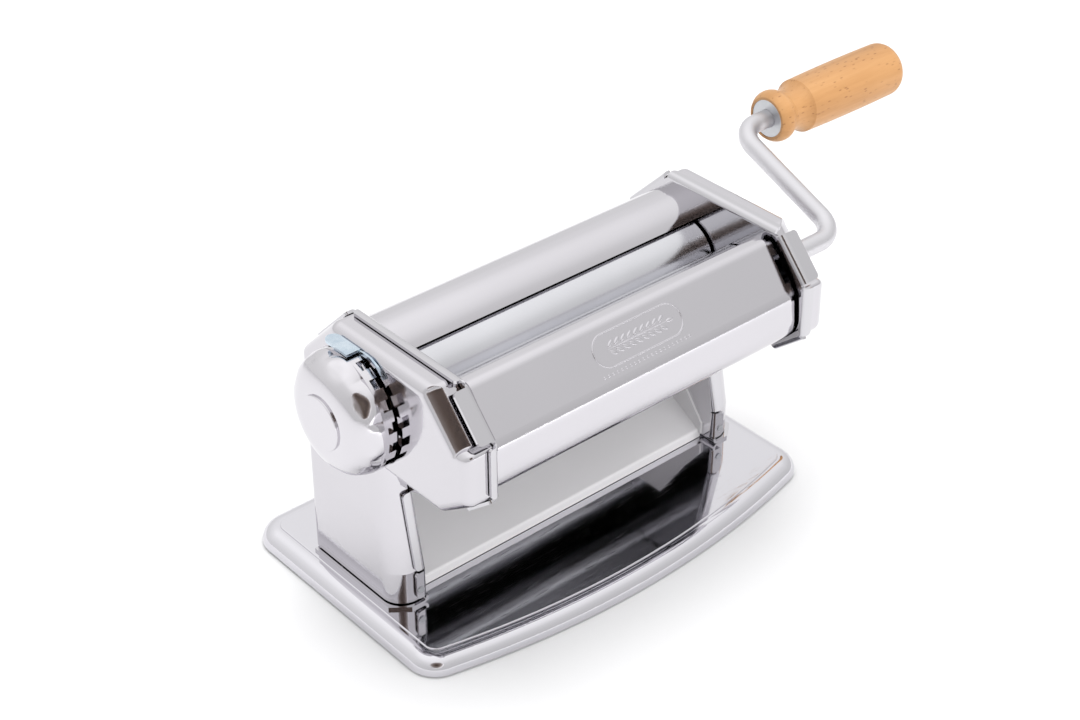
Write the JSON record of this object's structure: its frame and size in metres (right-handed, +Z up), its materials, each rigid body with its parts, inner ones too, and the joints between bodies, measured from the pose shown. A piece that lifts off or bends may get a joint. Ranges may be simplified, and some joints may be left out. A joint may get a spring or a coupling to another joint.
{
  "type": "pasta roller machine",
  "caption": "Manual pasta roller with folded metal covers, paired rollers on a bowed base plate, a gap regulator knob and a side crank with a wooden grip.",
  "frame": {"origin": "middle of the base on the table top it stands on, under the middle of the rollers' length", "axes": "+X along the rollers towards the crank, -Y towards the front cover, +Z up"},
  "size_m": [0.3337, 0.1282, 0.1279],
  "materials": {
    "chrome": "polished chrome plate",
    "plate_chrome": "polished chrome plate",
    "roller_steel": "fine ground",
    "zinc": "bluish zinc plate",
    "steel": "machined",
    "bronze": "sintered bronze",
    "crank_chrome": "satin chrome plate",
    "beech": "oiled beech",
    "rubber": "matt"
  },
  "bodies": {
    "frame": {"base_plate": "chrome", "rubber_feet": "rubber", "right_side_plate": "plate_chrome", "left_side_plate": "plate_chrome", "foot_rivets": "steel", "leg_rivets": "steel", "tie_rods": "steel", "tie_rod_nuts": "zinc", "right_end_cover": "chrome", "left_end_cover": "chrome", "right_leg_cover": "chrome", "left_leg_cover": "chrome", "rear_cover": "chrome", "front_cover": "chrome", "accessory_rail": "chrome", "chute_panel": "chrome", "clamp_bracket": "zinc", "front_bushes": "bronze", "guide_pins": "steel", "front_scraper": "steel", "cover_spacers": "steel", "knob_bush": "bronze", "catch_pin": "steel", "spring_tab": "zinc"},
    "driven_roller_set": {"front_roller": "roller_steel", "drive_gear": "steel"},
    "carriage": {"right_carriage_plate": "zinc", "left_carriage_plate": "zinc", "carriage_rod": "steel", "carriage_pin": "steel", "rear_bushes": "bronze", "rear_scraper": "steel"},
    "adjustable_roller_set": {"rear_roller": "roller_steel", "driven_gear": "steel"},
    "regulator_knob": {"regulator_spindle": "steel", "regulator_cam": "zinc", "knob_shell": "chrome", "knob_ring": "plate_chrome", "knob_cap": "chrome"},
    "catch": {"catch_plate": "zinc"},
    "crank": {"crank_rod": "crank_chrome"},
    "grip_set": {"grip": "beech", "grip_ferrule": "steel"}
  },
  "joints": [
    {"name": "crank_turn", "type": "hinge", "parent": "frame", "child": "driven_roller_set", "pos_m": [0, -0.032, 0.0945], "axis": [1, 0, 0], "continuous": true},
    {"name": "gap_slide", "type": "slide", "parent": "frame", "child": "carriage", "axis": [0, 1, 0], "range_m": [0, 0.002]},
    {"name": "rear_roller_turn", "type": "hinge", "parent": "carriage", "child": "adjustable_roller_set", "pos_m": [0, -0.002, 0.0945], "axis": [1, 0, 0], "continuous": true},
    {"name": "knob_turn", "type": "hinge", "parent": "frame", "child": "regulator_knob", "pos_m": [-0.095, -0.002, 0.0945], "axis": [-1, 0, 0], "range_deg": [0, 150]},
    {"name": "catch_lift", "type": "hinge", "parent": "frame", "child": "catch", "pos_m": [-0.09, 0.0085, 0.1065], "axis": [-1, 0, 0], "range_deg": [0, 8], "stiffness_Nm_per_rad": 0.05, "springref_deg": -11.46},
    {"name": "crank_pull", "type": "slide", "parent": "driven_roller_set", "child": "crank", "axis": [1, 0, 0], "range_m": [0, 0.035]},
    {"name": "grip_turn", "type": "hinge", "parent": "crank", "child": "grip_set", "pos_m": [0.1885, 0.0286, 0.1158], "axis": [1, 0, 0], "continuous": true}
  ],
  "couplings": [
    {"joint": "rear_roller_turn", "follows": "crank_turn", "ratio": -1},
    {"joint": "knob_turn", "follows": "gap_slide", "rad_per_m": 1309}
  ]
}
